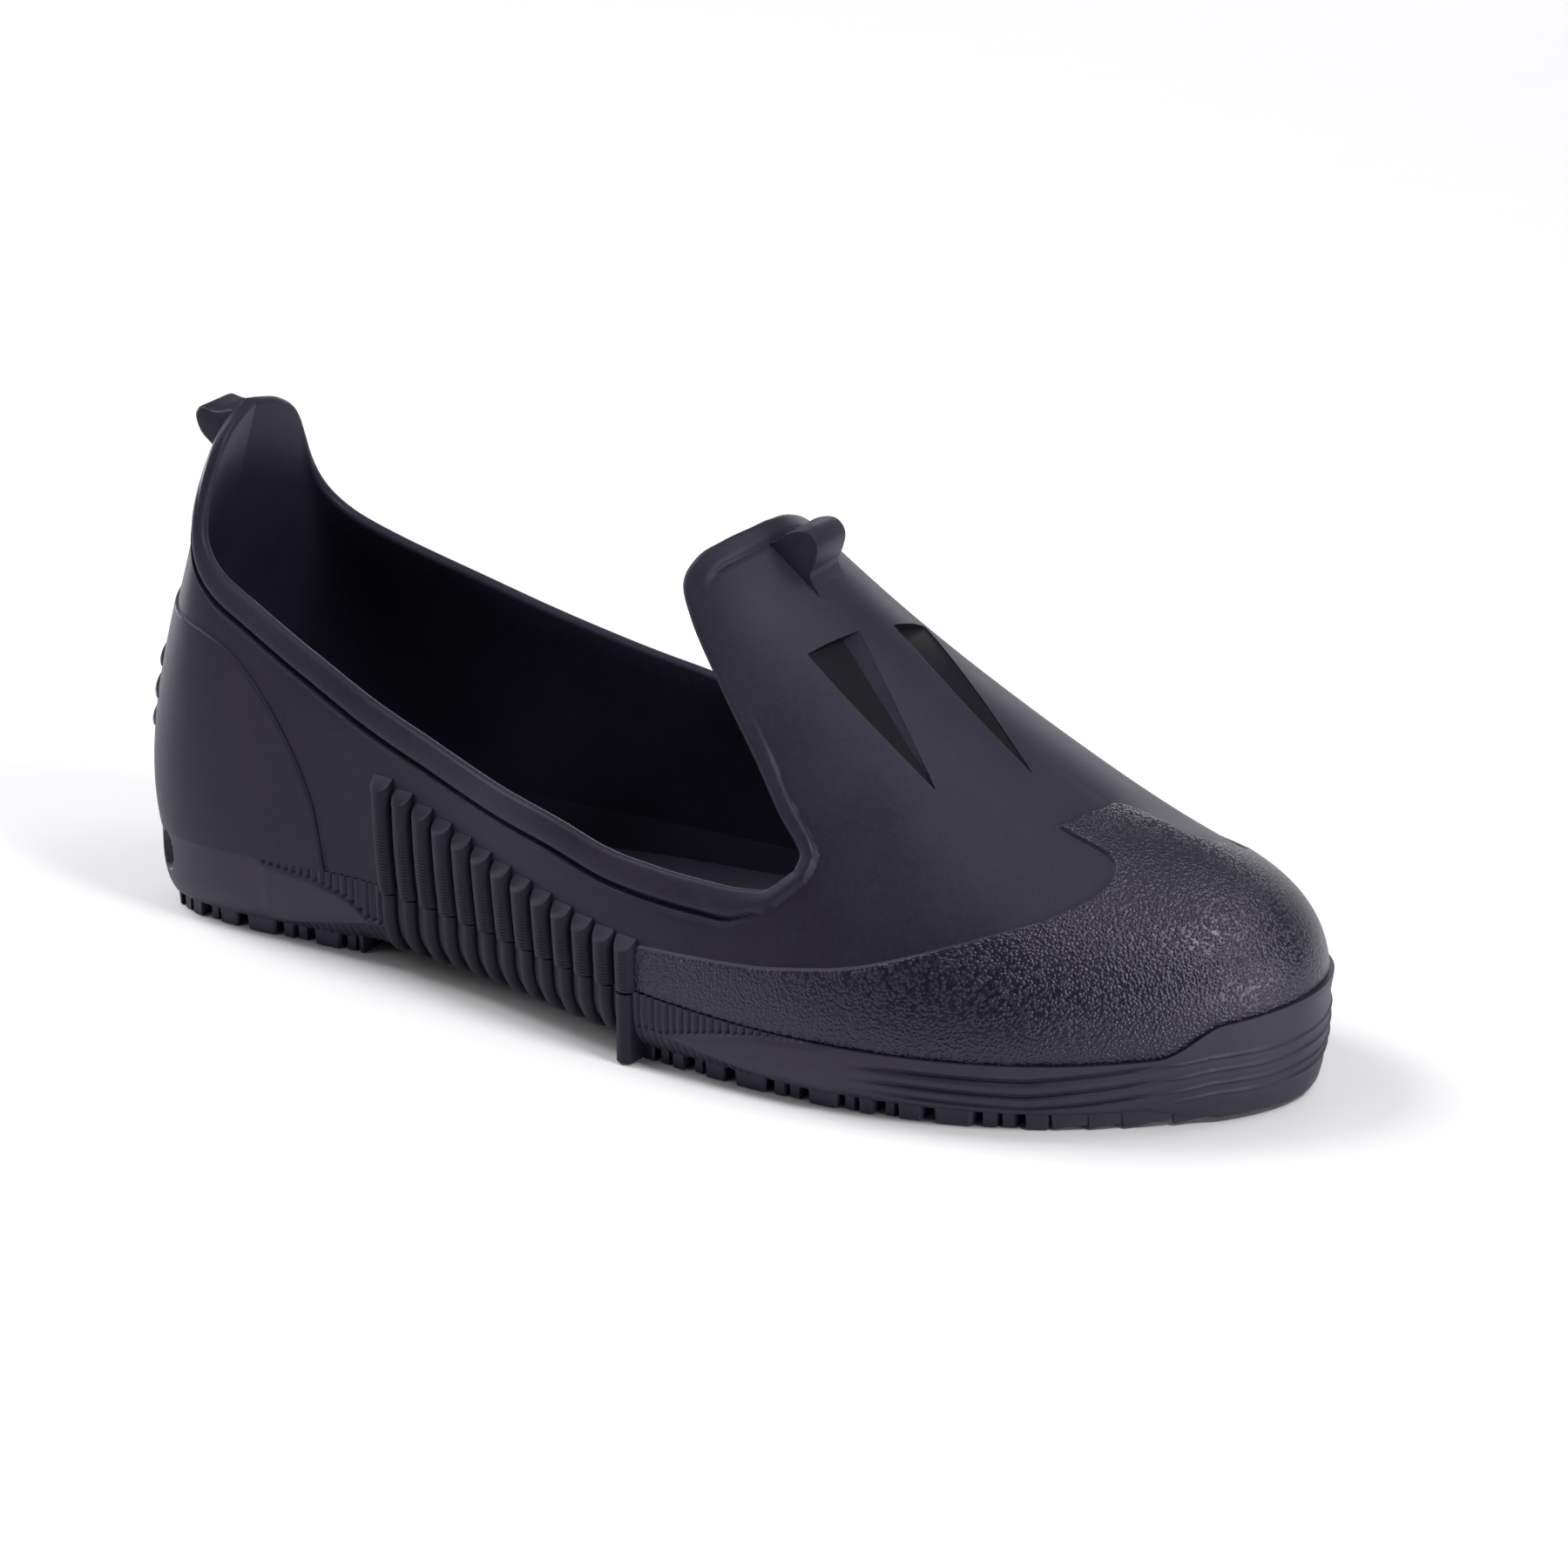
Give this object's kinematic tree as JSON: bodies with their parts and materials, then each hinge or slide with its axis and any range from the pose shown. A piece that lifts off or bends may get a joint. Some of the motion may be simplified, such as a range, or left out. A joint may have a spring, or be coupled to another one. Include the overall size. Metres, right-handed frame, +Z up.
{
  "type": "rubber overshoe",
  "caption": "Moulded rubber overshoe for the right foot: lugged outsole tray, hollow upper with rolled collar, ribbed waist and pull tabs, and a grained toe guard.",
  "frame": {"origin": "centre of the bounding box in plan, on the floor under the lugs", "axes": "+X from heel to toe, +Y to the left, which is the medial side of this right shoe, +Z up"},
  "size_m": [0.3012, 0.1112, 0.1227],
  "materials": {
    "outsole": "moulded, dull",
    "upper": "moulded, satin",
    "toe_guard": "pebble grained, satin"
  },
  "bodies": {
    "root": {"outsole": "outsole", "upper": "upper", "toe_guard": "toe_guard"}
  },
  "joints": []
}
